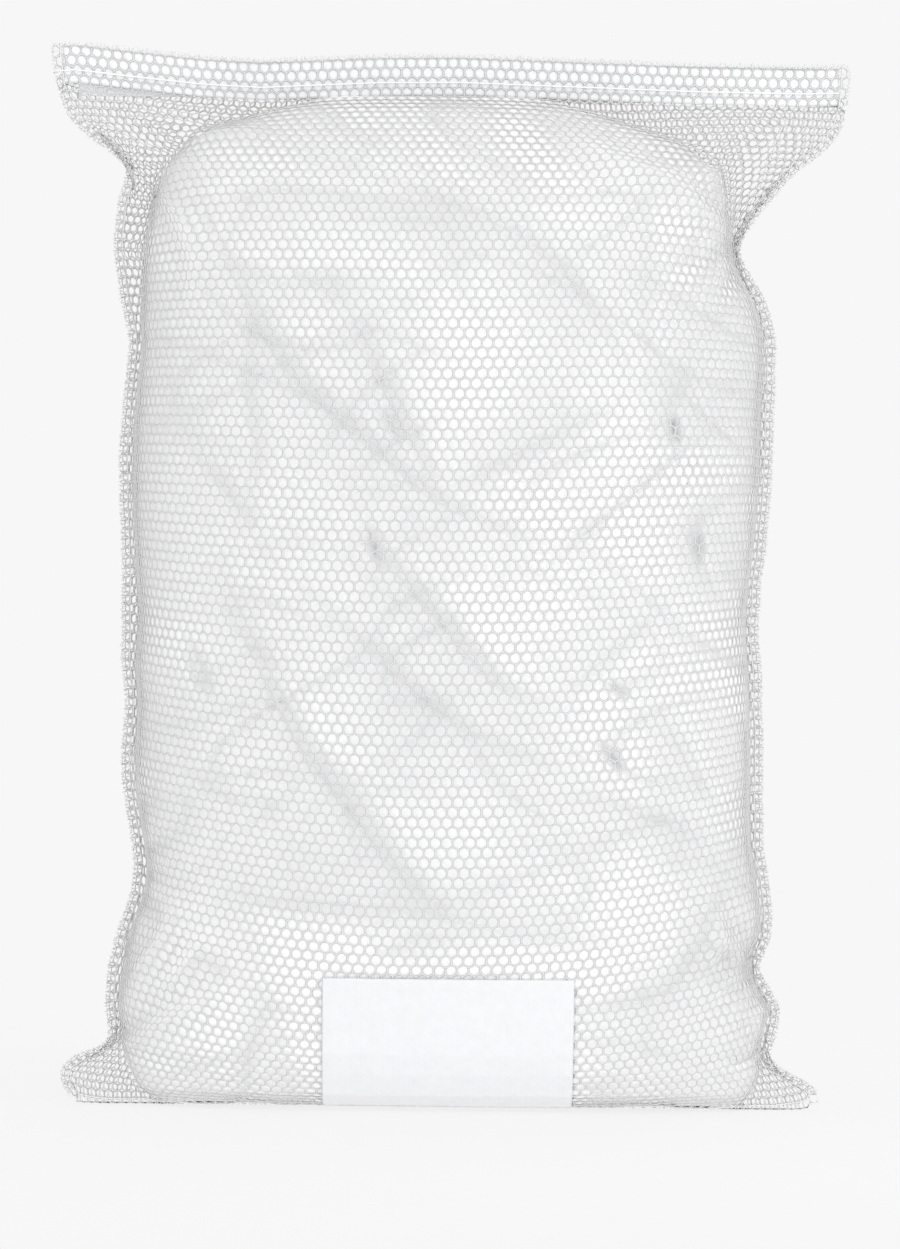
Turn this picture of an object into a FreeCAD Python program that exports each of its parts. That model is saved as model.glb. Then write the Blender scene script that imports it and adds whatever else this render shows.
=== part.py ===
import FreeCAD, Part

import math
import os

# A zip-closed laundry net bag, standing on its base and filled with laundry. Millimetres.
# X runs from the left seam to the right seam, Y from the front panel to the back panel, Z up.
# The origin is under the middle of the bag, on the surface that it stands on.

# ---- the bag's cloth -------------------------------------------------------------------
NET_THICKNESS = 0.8
SEAM_FIN = 4.0              # raw edges and overlock thread outside each seam line
SEAM_HALF_THICKNESS = 0.6
PANEL_GAP = 0.15            # each panel stops this far from the middle plane
BOTTOM_FIN_HALF_WIDTH = 2.0
BOTTOM_FIN_HEIGHT = 1.2
SECTION_POWER = 2.4         # how square the bag's level sections are; 2 is an ellipse
SECTION_STEPS = 16

# ---- the standing bag's outline --------------------------------------------------------
BAND_BOTTOM = 505.0         # the mouth band's lower edge, all of it above the laundry
BAND_HALF_DEPTH = 3.4
BACK_TOP_HALF_DEPTH = 1.5
BAND_HALF_WIDTH = 195.5
BAND_OVERLAP = 0.4          # the band starts this far below the panel's upper edge
BAND_SHEET_THICKNESS = 0.7

# Half depth of the filled bag at each height.
HALF_DEPTHS = [
    (0.0, 34.0), (9.0, 48.0), (20.0, 58.0), (45.0, 68.0), (90.0, 75.0), (160.0, 78.0),
    (300.0, 78.0), (350.0, 76.5), (400.0, 73.5), (430.0, 69.0), (452.0, 62.5),
    (468.0, 53.0), (482.0, 40.0), (491.0, 30.0), (497.0, 22.0), (501.0, 13.0),
]

# Outer edge of each side seam, from the floor up: (x, z).
LEFT_OUTLINE = [
    (-182.0, 0.0), (-192.0, 7.5), (-189.5, 16.5), (-175.5, 22.5), (-165.5, 28.0),
    (-168.0, 47.0), (-161.0, 87.0), (-154.5, 117.0), (-161.0, 162.0), (-161.5, 202.0),
    (-158.0, 252.0), (-163.5, 302.0), (-162.0, 337.0), (-159.0, 382.0), (-163.5, 422.0),
    (-166.0, 449.0), (-160.0, 472.0), (-175.0, 482.0), (-189.0, 493.0), (-197.0, 511.0),
    (-199.5, 529.0),
]
RIGHT_OUTLINE = [
    (184.0, 0.0), (188.5, 9.5), (179.5, 18.0), (164.5, 26.0), (168.0, 53.0), (157.5, 71.0),
    (165.0, 90.0), (162.5, 115.0), (160.5, 165.0), (156.0, 245.0), (161.0, 285.0),
    (163.5, 380.0), (158.0, 405.0), (144.0, 436.0), (155.0, 452.0), (175.0, 471.0),
    (191.0, 483.0), (197.5, 501.0), (199.5, 522.5),
]
EAR_TOP = 30.0              # the squashed bottom corners end at this height
FOOT_HALF_WIDTHS = [(0.0, 150.0), (9.0, 157.0), (20.0, 160.0)]

# The mouth's upper edge, which waves a little: (x, z).
TOP_OUTLINE = [
    (-199.5, 529.0), (-187.5, 530.5), (-160.0, 527.5), (-125.0, 524.0), (-95.0, 522.5),
    (-35.0, 525.5), (5.0, 526.0), (55.0, 525.0), (125.0, 523.0), (175.0, 522.5),
    (199.5, 522.5),
]
OVERLOCK_HEIGHT = 1.0

# ---- the laundry inside ----------------------------------------------------------------
LOAD_CLEARANCE = 1.2
LOAD_BASE = 1.6
LOAD_SHOULDERS = [
    (455.0, 128.0, 58.0), (470.0, 119.0, 48.0), (482.0, 104.0, 36.0), (492.0, 80.0, 24.0),
]
LOAD_BODY_TOP = 430.0

# ---- the mouth tape and its stitching --------------------------------------------------
TAPE_HALF_WIDTH = 194.0
TAPE_FRONT = -2.6
TAPE_BACK = -2.1
TAPE_BOTTOM = BAND_BOTTOM + 0.3
STITCH_DROP = 13.0          # the seam line below the mouth's upper edge
ZIP_STITCH_DROP = 2.0       # the sewn line below the zip tape's upper edge
HEM_STITCH_DROP = 0.5       # the sewn line below the middle of the back panel's hem
THREAD = 0.5

# ---- the zip ---------------------------------------------------------------------------
ZIP_HEIGHT = 513.5
ZIP_TAPE_HALF_WIDTH = 186.0
ZIP_TAPE_HALF_THICKNESS = 0.25
ZIP_TAPE_TOP = 521.5
ZIP_TAPE_BOTTOM = 503.6
COIL_HALF_LENGTH = 170.2
COIL_INNER = 0.6            # from the zip's centre line to the coil
COIL_OUTER = 2.8
COIL_HALF_THICKNESS = 0.8
STOP_LENGTH = 3.0
STOP_GAP = 0.3
STOP_HALF_THICKNESS = 1.0
BACK_HEM_TOP = 508.3
BACK_HEM_INNER = 0.35

# ---- the slider and its pull tab -------------------------------------------------------
SLIDER_X = 165.0
SLIDER_HALF_LENGTH = 5.0
SLIDER_HALF_HEIGHT = 3.6
PLATE_INNER = 1.1
PLATE_OUTER = 1.8
FLANGE_HEIGHT = 0.5
FLANGE_INNER = 0.55
POST_START = 2.0
POST_END = 4.2
POST_HALF_THICKNESS = 0.3
SLIDER_ROUNDING = 0.45
WELD = 0.1                  # how far the bridge's legs run into the slider's plate
BRIDGE_HALF_LENGTH = 3.2
BRIDGE_LEG = 0.8
BRIDGE_HALF_HEIGHT = 0.8
BRIDGE_TOP = 4.4
PIVOT_Y = 2.75
TAB_LENGTH = 24.0
TAB_HALF_HEIGHT = 2.6
TAB_HALF_THICKNESS = 0.5
TAB_WINDOW_END = 5.2
TAB_WINDOW_HALF_HEIGHT = 1.2
TAB_EYE_RADIUS = 1.2

# ---- the name label --------------------------------------------------------------------
LABEL_LEFT = -59.0
LABEL_RIGHT = 65.0
LABEL_TOP = 66.0
LABEL_BOTTOM = 1.0
LABEL_THICKNESS = 0.4
LABEL_HEM = 6.5
LABEL_GAP = 0.6
LABEL_THREAD_GAP = 0.2


def between(table, at):
    """The value that a table of (position, value) pairs gives at a position, by straight lines."""
    for (low, low_value), (high, high_value) in zip(table, table[1:]):
        if at <= high:
            share = (at - low) / (high - low)
            return low_value + share * (high_value - low_value)
    return table[-1][1]


def edge_at(outline, z):
    """Where a side seam's outer edge is at a height."""
    return between([(point_z, point_x) for point_x, point_z in outline], z)


def panel_ends(z):
    """The left and right seam lines of the two panels at a height."""
    foot = between(FOOT_HALF_WIDTHS, z)
    if z < EAR_TOP:
        return -foot, foot - SEAM_FIN
    return edge_at(LEFT_OUTLINE, z) + SEAM_FIN, edge_at(RIGHT_OUTLINE, z) - SEAM_FIN


def half_depth(z, top_depth=BAND_HALF_DEPTH):
    return between(HALF_DEPTHS + [(BAND_BOTTOM, top_depth)], z)


def bulge(share):
    """How far the panel stands out at a share of its half width, as a share of its half depth."""
    return (1.0 - abs(share) ** SECTION_POWER) ** (1.0 / SECTION_POWER)


def section_points(left, right, depth, inset, side):
    """Points from one seam to the other along one panel's level section."""
    middle = (left + right) / 2
    half_width = (right - left) / 2 - inset
    points = []
    for step in range(SECTION_STEPS + 1):
        angle = math.pi * (step / SECTION_STEPS - 0.5)
        share = math.copysign(abs(math.sin(angle)) ** (2 / SECTION_POWER), angle)
        reach = PANEL_GAP + (depth - inset - PANEL_GAP) * bulge(share)
        points.append((middle + half_width * share, side * reach))
    return points


def spline(points):
    curve = Part.BSplineCurve()
    curve.interpolate([FreeCAD.Vector(*point) for point in points])
    return curve.toShape()


def line(start, end):
    return Part.makeLine(FreeCAD.Vector(*start), FreeCAD.Vector(*end))


def box(x_range, y_range, z_range):
    corner = FreeCAD.Vector(x_range[0], y_range[0], z_range[0])
    size = [high - low for low, high in (x_range, y_range, z_range)]
    return Part.makeBox(*size, corner)


def upright_plate(outline, front, back):
    """A flat plate with an outline of (x, z) points, from y = front to y = back."""
    corners = [FreeCAD.Vector(x, front, z) for x, z in outline]
    face = Part.Face(Part.makePolygon(corners + corners[:1]))
    return face.extrude(FreeCAD.Vector(0, back - front, 0))


def section_heights():
    """Every height at which the panels change direction."""
    sides = [z for x, z in LEFT_OUTLINE + RIGHT_OUTLINE if EAR_TOP < z < BAND_BOTTOM]
    feet = [z for z, half_width in FOOT_HALF_WIDTHS] + [EAR_TOP]
    heights = sorted(set([z for z, depth in HALF_DEPTHS] + sides + feet))
    spaced = [heights[0]]
    for height in heights[1:]:
        if height - spaced[-1] > 2.5:
            spaced.append(height)
    return spaced


def panel_shell(side, top_depth):
    """The curved sheet of one panel, from the floor to the band."""
    wires = []
    for z in section_heights() + [BAND_BOTTOM]:
        left, right = panel_ends(z)
        depth = half_depth(z, top_depth)
        outer = [(x, y, z) for x, y in section_points(left, right, depth, 0, side)]
        inner = [(x, y, z) for x, y in section_points(left, right, depth, NET_THICKNESS, side)]
        edges = [spline(outer), line(outer[-1], inner[-1]), spline(inner), line(inner[0], outer[0])]
        wires.append(Part.Wire(edges))
    return Part.makeLoft(wires, True, True)


def panel_floor(side):
    """The part of one panel that lies on the floor."""
    left, right = panel_ends(0.0)
    outer = [(x, y, 0) for x, y in section_points(left, right, HALF_DEPTHS[0][1], 0, side)]
    face = Part.Face(Part.Wire([spline(outer), line(outer[-1], outer[0])]))
    return face.extrude(FreeCAD.Vector(0, 0, NET_THICKNESS))


def ear(outline, side):
    """One panel's half of a bottom corner, squashed flat beside the filled bag."""
    corner = [(x, z) for x, z in outline if z < EAR_TOP]
    end = 0 if corner[0][0] < 0 else 1
    root = [(panel_ends(z)[end], z) for z, half_width in FOOT_HALF_WIDTHS]
    plate = corner + [(panel_ends(EAR_TOP)[end], corner[-1][1])] + root[::-1]
    near, far = PANEL_GAP * side, (PANEL_GAP + NET_THICKNESS) * side
    return upright_plate(plate, min(near, far), max(near, far))


def inset_path(outline, distance):
    """The outline moved towards the bag's middle, square to its own run."""
    moved = []
    for index, (x, z) in enumerate(outline):
        before = outline[max(index - 1, 0)]
        after = outline[min(index + 1, len(outline) - 1)]
        run = math.hypot(after[0] - before[0], after[1] - before[1])
        turn = -math.copysign(1.0, outline[0][0])
        normal_x = turn * (after[1] - before[1]) / run
        normal_z = -turn * (after[0] - before[0]) / run
        moved.append((x + distance * normal_x, max(z + distance * normal_z, 0.0)))
    return moved


def side_seam(outline):
    """The fin of raw edges and overlock thread along one side."""
    inner = inset_path(outline, SEAM_FIN)
    return upright_plate(outline + inner[::-1], -SEAM_HALF_THICKNESS, SEAM_HALF_THICKNESS)


def bottom_seam():
    ends = (LEFT_OUTLINE[0][0], RIGHT_OUTLINE[0][0])
    thickness = (-BOTTOM_FIN_HALF_WIDTH, BOTTOM_FIN_HALF_WIDTH)
    fin = box(ends, thickness, (0.0, BOTTOM_FIN_HEIGHT))
    return fin.cut(side_seam(LEFT_OUTLINE)).cut(side_seam(RIGHT_OUTLINE))


def band_outline(half_width, bottom, top_drop):
    """Outline of a strip of the mouth band that follows the mouth's upper edge."""
    inside = [(x, z - top_drop) for x, z in TOP_OUTLINE if abs(x) < half_width]
    left = (-half_width, between(TOP_OUTLINE, -half_width) - top_drop)
    right = (half_width, between(TOP_OUTLINE, half_width) - top_drop)
    return [(-half_width, bottom), left] + inside + [right, (half_width, bottom)]


def along_top(half_width, drop, height):
    """Outline of a narrow strip that runs along the mouth's upper edge, below it by drop."""
    upper = band_outline(half_width, 0.0, drop)[1:-1]
    return upper + [(x, z - height) for x, z in reversed(upper)]


def without_seams(panel):
    for seam in (side_seam(LEFT_OUTLINE), side_seam(RIGHT_OUTLINE), bottom_seam()):
        panel = panel.cut(seam)
    return panel


def front_net():
    bottom = BAND_BOTTOM - BAND_OVERLAP
    outline = band_outline(BAND_HALF_WIDTH, bottom, 0.0)
    band = upright_plate(outline, -BAND_HALF_DEPTH, BAND_SHEET_THICKNESS - BAND_HALF_DEPTH)
    shell = panel_shell(-1, BAND_HALF_DEPTH)
    pieces = [panel_floor(-1), ear(LEFT_OUTLINE, -1), ear(RIGHT_OUTLINE, -1), band]
    for end in (-1, 1):
        wall = sorted((end * BAND_HALF_WIDTH, end * (BAND_HALF_WIDTH - NET_THICKNESS)))
        top = between(TOP_OUTLINE, end * BAND_HALF_WIDTH)
        pieces.append(box(wall, (-BAND_HALF_DEPTH, -PANEL_GAP), (bottom, top)))
    return without_seams(shell.fuse(pieces))


def back_net():
    hem = box(
        (-ZIP_TAPE_HALF_WIDTH, ZIP_TAPE_HALF_WIDTH),
        (BACK_HEM_INNER, BACK_TOP_HALF_DEPTH),
        (BAND_BOTTOM - BAND_OVERLAP, BACK_HEM_TOP),
    )
    pieces = [panel_floor(1), ear(LEFT_OUTLINE, 1), ear(RIGHT_OUTLINE, 1), hem]
    return without_seams(panel_shell(1, BACK_TOP_HALF_DEPTH).fuse(pieces))


def laundry_load():
    """The bag's contents as one soft block that fills the two panels."""
    body = [z for z in section_heights() if LOAD_BASE < z <= LOAD_BODY_TOP]
    levels = [(LOAD_BASE, *panel_ends(LOAD_BASE), half_depth(LOAD_BASE))]
    levels += [(z, *panel_ends(z), half_depth(z)) for z in body]
    levels += [(z, -half_width, half_width, depth) for z, half_width, depth in LOAD_SHOULDERS]
    wires = []
    for z, left, right, depth in levels:
        inset = NET_THICKNESS + LOAD_CLEARANCE
        front = [(x, y, z) for x, y in section_points(left, right, depth, inset, -1)]
        back = [(x, y, z) for x, y in section_points(left, right, depth, inset, 1)]
        ends = [line(front[-1], back[-1]), line(back[0], front[0])]
        wires.append(Part.Wire([spline(front), ends[0], spline(back), ends[1]]))
    return Part.makeLoft(wires, True, True)


def mouth_tape():
    return upright_plate(band_outline(TAPE_HALF_WIDTH, TAPE_BOTTOM, 0.0), TAPE_FRONT, TAPE_BACK)


def mouth_stitching():
    strip = along_top(TAPE_HALF_WIDTH, STITCH_DROP, THREAD)
    return upright_plate(strip, -BAND_HALF_DEPTH - THREAD / 2, -BAND_HALF_DEPTH)


def top_overlock():
    strip = along_top(TAPE_HALF_WIDTH, -OVERLOCK_HEIGHT, OVERLOCK_HEIGHT)
    return upright_plate(strip, -BAND_HALF_DEPTH, ZIP_TAPE_HALF_THICKNESS)


def zip_tape(low, high):
    reach = ZIP_TAPE_HALF_WIDTH
    thickness = (-ZIP_TAPE_HALF_THICKNESS, ZIP_TAPE_HALF_THICKNESS)
    return box((-reach, reach), thickness, (low, high))


def zip_coil(side):
    """One row of zip teeth, above (side 1) or below (side -1) the zip's centre line."""
    heights = sorted((ZIP_HEIGHT + side * COIL_INNER, ZIP_HEIGHT + side * COIL_OUTER))
    thickness = (-COIL_HALF_THICKNESS, COIL_HALF_THICKNESS)
    return box((-COIL_HALF_LENGTH, COIL_HALF_LENGTH), thickness, heights)


def zip_stop(side):
    """The clamp at one end of the zip that stops the slider."""
    near = COIL_HALF_LENGTH + STOP_GAP
    ends = sorted((side * near, side * (near + STOP_LENGTH)))
    heights = (ZIP_HEIGHT - SLIDER_HALF_HEIGHT, ZIP_HEIGHT + SLIDER_HALF_HEIGHT)
    outside = box(ends, (-STOP_HALF_THICKNESS, STOP_HALF_THICKNESS), heights)
    tapes = zip_tape(ZIP_TAPE_BOTTOM, ZIP_HEIGHT - COIL_OUTER).fuse(
        zip_tape(ZIP_HEIGHT + COIL_OUTER, ZIP_TAPE_TOP)
    )
    return outside.cut(tapes)


def zip_stitching(height, face):
    """A sewn line along the zip, on a face of the cloth behind it."""
    return box(
        (-ZIP_TAPE_HALF_WIDTH, ZIP_TAPE_HALF_WIDTH),
        (face, face + THREAD / 2),
        (height - THREAD / 2, height + THREAD / 2),
    )


def front_patch(x_range, z_range, gap, thickness):
    """A thin sheet that lies on the outside of the front panel."""
    steps = 8
    columns = [x_range[0] + (x_range[1] - x_range[0]) * step / steps for step in range(steps + 1)]
    bends = [z for z, depth in HALF_DEPTHS if z_range[0] < z < z_range[1]]
    wires = []
    for z in [z_range[0]] + bends + [z_range[1]]:
        left, right = panel_ends(z)
        middle, half_width = (left + right) / 2, (right - left) / 2
        depth = half_depth(z)
        near = [(x, -depth * bulge((x - middle) / half_width) - gap, z) for x in columns]
        far = [(x, y - thickness, z) for x, y, height in near]
        edges = [spline(near), line(near[-1], far[-1]), spline(far), line(far[0], near[0])]
        wires.append(Part.Wire(edges))
    return Part.makeLoft(wires, True, True)


def name_label():
    return front_patch(
        (LABEL_LEFT, LABEL_RIGHT), (LABEL_BOTTOM, LABEL_TOP), LABEL_GAP, LABEL_THICKNESS
    )


def label_stitching():
    """The three sewn lines inside the label's side and top hems."""
    gap = LABEL_GAP + LABEL_THICKNESS + LABEL_THREAD_GAP
    left, right = LABEL_LEFT + LABEL_HEM, LABEL_RIGHT - LABEL_HEM
    top = LABEL_TOP - LABEL_HEM
    lines = [
        front_patch((left - THREAD, left), (LABEL_BOTTOM, top), gap, THREAD / 2),
        front_patch((right, right + THREAD), (LABEL_BOTTOM, top), gap, THREAD / 2),
        front_patch((left, right), (top - THREAD, top), gap, THREAD / 2),
    ]
    return Part.makeCompound(lines)


def zip_slider():
    centre = FreeCAD.Vector(SLIDER_X, 0, ZIP_HEIGHT)
    length = (-SLIDER_HALF_LENGTH, SLIDER_HALF_LENGTH)
    height = (-SLIDER_HALF_HEIGHT, SLIDER_HALF_HEIGHT)
    pieces = [
        box(length, (-PLATE_OUTER, -PLATE_INNER), height),
        box(length, (PLATE_INNER, PLATE_OUTER), height),
        box(
            (POST_START, POST_END), (-PLATE_INNER, PLATE_INNER),
            (-POST_HALF_THICKNESS, POST_HALF_THICKNESS),
        ),
    ]
    for side in (-1, 1):
        edge = sorted((side * SLIDER_HALF_HEIGHT, side * (SLIDER_HALF_HEIGHT - FLANGE_HEIGHT)))
        pieces.append(box(length, (-PLATE_OUTER, -FLANGE_INNER), edge))
        pieces.append(box(length, (FLANGE_INNER, PLATE_OUTER), edge))
        leg = sorted((side * BRIDGE_HALF_LENGTH, side * (BRIDGE_HALF_LENGTH - BRIDGE_LEG)))
        bridge_height = (-BRIDGE_HALF_HEIGHT, BRIDGE_HALF_HEIGHT)
        pieces.append(box(leg, (PLATE_OUTER - WELD, BRIDGE_TOP), bridge_height))
    pieces.append(
        box(
            (-BRIDGE_HALF_LENGTH, BRIDGE_HALF_LENGTH),
            (BRIDGE_TOP - BRIDGE_LEG, BRIDGE_TOP),
            (-BRIDGE_HALF_HEIGHT, BRIDGE_HALF_HEIGHT),
        )
    )
    slider = pieces[0].fuse(pieces[1:]).removeSplitter()
    corners = [
        edge for edge in slider.Edges
        if abs(edge.BoundBox.XLength) < 1e-6 and abs(edge.BoundBox.ZLength) < 1e-6
        and abs(abs(edge.BoundBox.Center.x) - SLIDER_HALF_LENGTH) < 1e-6
        and abs(abs(edge.BoundBox.Center.z) - SLIDER_HALF_HEIGHT) < 1e-6
    ]
    slider = slider.makeFillet(SLIDER_ROUNDING, corners)
    slider.translate(centre)
    return slider


def pull_tab():
    """The flat tab, with a window whose end bar passes under the slider's bridge."""
    thickness = (-TAB_HALF_THICKNESS, TAB_HALF_THICKNESS)
    blade = box((-TAB_LENGTH + TAB_HALF_HEIGHT, 0.0), thickness, (-TAB_HALF_HEIGHT, TAB_HALF_HEIGHT))
    y_axis = FreeCAD.Vector(0, 1, 0)
    end_centre = FreeCAD.Vector(-TAB_LENGTH + TAB_HALF_HEIGHT, -TAB_HALF_THICKNESS, 0)
    round_end = Part.makeCylinder(TAB_HALF_HEIGHT, 2 * TAB_HALF_THICKNESS, end_centre, y_axis)
    eye = Part.makeCylinder(TAB_EYE_RADIUS, 2 * TAB_HALF_THICKNESS, end_centre, y_axis)
    bar = Part.makeCylinder(
        TAB_HALF_THICKNESS, 2 * TAB_HALF_HEIGHT,
        FreeCAD.Vector(0, 0, -TAB_HALF_HEIGHT), FreeCAD.Vector(0, 0, 1),
    )
    window = box(
        (-TAB_WINDOW_END, TAB_HALF_THICKNESS), (-TAB_HALF_HEIGHT, TAB_HALF_HEIGHT),
        (-TAB_WINDOW_HALF_HEIGHT, TAB_WINDOW_HALF_HEIGHT),
    )
    tab = blade.fuse(round_end).cut(window).cut(eye).fuse(bar).removeSplitter()
    tab.translate(FreeCAD.Vector(SLIDER_X, PIVOT_Y, ZIP_HEIGHT))
    return tab


def main():
    hem_stitch_height = (BAND_BOTTOM + BACK_HEM_TOP) / 2 - HEM_STITCH_DROP
    nodes = {
        "front_net": front_net(),
        "back_net": back_net(),
        "laundry_load": laundry_load(),
        "side_seam_left": side_seam(LEFT_OUTLINE),
        "side_seam_right": side_seam(RIGHT_OUTLINE),
        "bottom_seam": bottom_seam(),
        "top_overlock": top_overlock(),
        "mouth_tape": mouth_tape(),
        "mouth_stitching": mouth_stitching(),
        "zip_tape_upper": zip_tape(ZIP_HEIGHT + COIL_OUTER, ZIP_TAPE_TOP),
        "zip_tape_lower": zip_tape(ZIP_TAPE_BOTTOM, ZIP_HEIGHT - COIL_OUTER),
        "zip_coil_upper": zip_coil(1),
        "zip_coil_lower": zip_coil(-1),
        "zip_closed_end_stop": zip_stop(1),
        "zip_open_end_stop": zip_stop(-1),
        "zip_upper_stitching": zip_stitching(
            ZIP_TAPE_TOP - ZIP_STITCH_DROP, ZIP_TAPE_HALF_THICKNESS
        ),
        "zip_lower_stitching": zip_stitching(hem_stitch_height, BACK_TOP_HALF_DEPTH),
        "name_label": name_label(),
        "label_stitching": label_stitching(),
        "zip_slider": zip_slider(),
        "pull_tab": pull_tab(),
    }
    os.makedirs("parts", exist_ok=True)
    for name, shape in nodes.items():
        shape.exportStep(f"parts/{name}.step")
        print(name, shape.isValid(), len(shape.Solids), round(shape.Volume / 1000, 3), "cm3")


main()
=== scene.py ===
import math

import bpy
import numpy as np
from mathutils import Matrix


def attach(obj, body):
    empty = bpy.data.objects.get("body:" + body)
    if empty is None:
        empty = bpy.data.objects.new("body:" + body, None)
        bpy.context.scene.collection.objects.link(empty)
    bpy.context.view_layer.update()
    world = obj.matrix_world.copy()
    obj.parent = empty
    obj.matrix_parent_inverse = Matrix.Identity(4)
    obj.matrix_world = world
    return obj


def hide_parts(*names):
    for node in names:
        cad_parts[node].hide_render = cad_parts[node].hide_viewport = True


# A filled laundry net bag. Cloth is worked out in millimetres and becomes metres when a mesh is made.
# A panel's flat cloth is measured with u from the left edge to the right edge, and v from the
# mouth's upper edge down to the bottom seam. Side 0 is the front panel, and side 1 the back panel.

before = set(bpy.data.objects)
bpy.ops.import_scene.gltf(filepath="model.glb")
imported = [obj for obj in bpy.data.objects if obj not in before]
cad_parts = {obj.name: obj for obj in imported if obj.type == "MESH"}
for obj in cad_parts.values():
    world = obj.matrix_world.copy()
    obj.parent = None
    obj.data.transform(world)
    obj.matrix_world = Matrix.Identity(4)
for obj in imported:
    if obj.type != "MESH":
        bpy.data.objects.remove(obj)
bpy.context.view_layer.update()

MM = 0.001

# ---- the flat bag ----------------------------------------------------------------------
FLAT_WIDTH = 400.0
FLAT_HEIGHT = 600.0
SEAM_FIN = 4.0                # from the seam line out to the raw edge
CELLS_ACROSS = 76
CELL_PITCH = FLAT_WIDTH / CELLS_ACROSS
ROWS_DOWN = 120
ROW_PITCH = FLAT_HEIGHT / ROWS_DOWN
CELL_STRETCH = ROW_PITCH / (CELL_PITCH * math.sqrt(3) / 2)    # against a regular cell's height
STRAND = 0.90                 # width of a strand of the net
KNOT_ROUNDING = 1.1           # the holes' corners, against 1.15 for sharp ones
STRAND_HALF_DEPTH = 0.42
BAND = 20.0                   # the mouth band, above the laundry
THREAD_RADIUS = 0.24

# ---- where the bag stands --------------------------------------------------------------
BAND_FRONT = -3.0             # the front net's middle plane in the band
BAND_FOOT = 505.5             # the height where the cloth leaves the band
BACK_HEM_Y = 0.75             # the back net's middle plane where it is sewn to the zip
ZIP_HEIGHT = 513.5
BACK_NET_TOP = 508.3          # the height where the back net starts, below the zip's teeth
BACK_NET_START = 16.0         # the cloth above this, down from the mouth, is missing on the back

# The outer edge of each side seam from the mouth down to the bottom corner: (x, z).
LEFT_EDGE = [
    (-199.5, 529), (-198.5, 520), (-197, 511), (-194, 501), (-190.5, 493),
    (-185, 487.5), (-179, 482), (-169.5, 476), (-161, 468), (-163, 459),
    (-166, 449), (-167.5, 435), (-166.5, 422), (-163.5, 402), (-159, 382),
    (-161.5, 358), (-163, 337), (-163.5, 302), (-161.5, 275), (-161.5, 252),
    (-161.5, 225), (-159.5, 202), (-160.5, 180), (-160.5, 160), (-157, 138),
    (-153.5, 119), (-155.5, 105), (-162.5, 87), (-167, 66), (-168, 50),
    (-166, 38), (-166, 32), (-172, 27.5), (-181.5, 24.5), (-188, 20),
    (-190.5, 14), (-188, 7), (-184, 3),
]
RIGHT_EDGE = [
    (199.5, 522.5), (199, 512), (197.5, 501), (195.5, 491), (190.5, 483),
    (183.5, 477), (175.5, 471), (167, 463), (158.5, 452), (151, 443),
    (145.5, 434), (145.5, 427), (149.5, 419), (158, 405), (162, 393),
    (163.5, 380), (163, 360), (162.5, 340), (162, 310), (160, 285),
    (157.5, 262), (156, 245), (157.5, 222), (158.5, 200), (159, 165),
    (159.5, 135), (162.5, 115), (165, 98), (164, 86), (158, 71),
    (164, 60), (169.5, 50), (167, 37), (163, 27), (169, 21),
    (178, 16.5), (186.5, 12), (188.5, 6),
]
MOUTH_EDGE = [
    (-199.5, 528.5), (-187.5, 529.5), (-160, 526.5), (-125, 523), (-95, 521.5),
    (-35, 524.5), (5, 525), (55, 523.5), (125, 521.5), (175, 521),
    (199.5, 521.5),
]
# The laundry's outline, seen from the front: (z, left, right, half depth).
LOAD_OUTLINE = [
    (3, -142.5, 151, 30), (9, -151.5, 156, 44), (20, -156.5, 159, 54),
    (30, -159.5, 161, 60), (50, -162, 162.5, 65), (71, -159, 154, 69),
    (90, -154, 158.5, 71.5), (119, -149, 157.5, 73.5), (140, -152.5, 156.5, 74.5),
    (165, -155.5, 156, 75), (202, -155.5, 154.5, 76), (245, -152, 151.5, 76),
    (285, -156, 156.5, 76), (337, -156, 158, 75.5), (380, -153, 158.5, 73.5),
    (405, -152.5, 153, 71.5), (420, -152.5, 145, 70), (436, -150.5, 140, 67),
    (452, -147, 138, 61.5), (460, -144.5, 136, 57), (468, -142, 134.5, 51.5),
    (475, -136.5, 125.5, 45.5), (482, -131, 116.5, 38.5), (487, -119, 102.5, 33),
    (491, -109.5, 91.5, 28.5), (494, -99.5, 82, 24.5), (497, -89, 73, 20.5),
    (499, -81.5, 66.5, 16.5), (501, -74.5, 60, 12), (503, -67.5, 53, 7.5),
    (504.5, -62, 48, 3.5), (505.2, -58, 44, 2), (508, -54, 40, 1.8),
]
# Where the side seams pinch the bag and its net gathers: (x, z, lines of gathering, height).
PINCHES = [
    (-165.5, 473, 9, 4.5), (-159, 118, 8, 4), (150, 437, 10, 5),
    (163.5, 71, 9, 4.5), (-172, 30, 8, 3), (171, 27, 8, 3),
]
# Folds of the front net: each one's line of (x, z) points, its height and its width.
NET_FOLDS = [
    ([(-136, 103), (-141, 84), (-153, 70), (-158, 58)], 4, 4),
    ([(-121, 86), (-129, 70), (-140, 58)], 3.5, 4),
    ([(-159, 30), (-135, 48), (-113, 58)], 4, 5),
    ([(-158, 468), (-137, 445), (-127, 421), (-129, 397)], 4, 5),
    ([(-166, 505), (-145, 496), (-122, 489), (-85, 485)], 5, 5),
    ([(-176, 491), (-156, 481), (-136, 473)], 5, 4.5),
    ([(141, 432), (118, 460), (59, 485)], 4, 6),
    ([(148, 444), (157, 471), (169, 499)], 5, 5),
    ([(144, 438), (136, 467), (128, 492)], 5, 5),
    ([(122, 62), (135, 76), (143, 94)], 5, 5),
    ([(154, 75), (142, 64), (124, 48)], 4, 5),
    ([(154, 75), (139, 91), (129, 115)], 5, 5),
]
LOAD_INSET = 7.0              # from a side seam's outer edge to the laundry
SECTION_POWER = 2.3           # how square the laundry's level sections are; 2 is an ellipse
SHOULDER_POWER = 3.2
FLOOR_CLEARANCE = 0.6         # of the nets' middle planes
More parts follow.
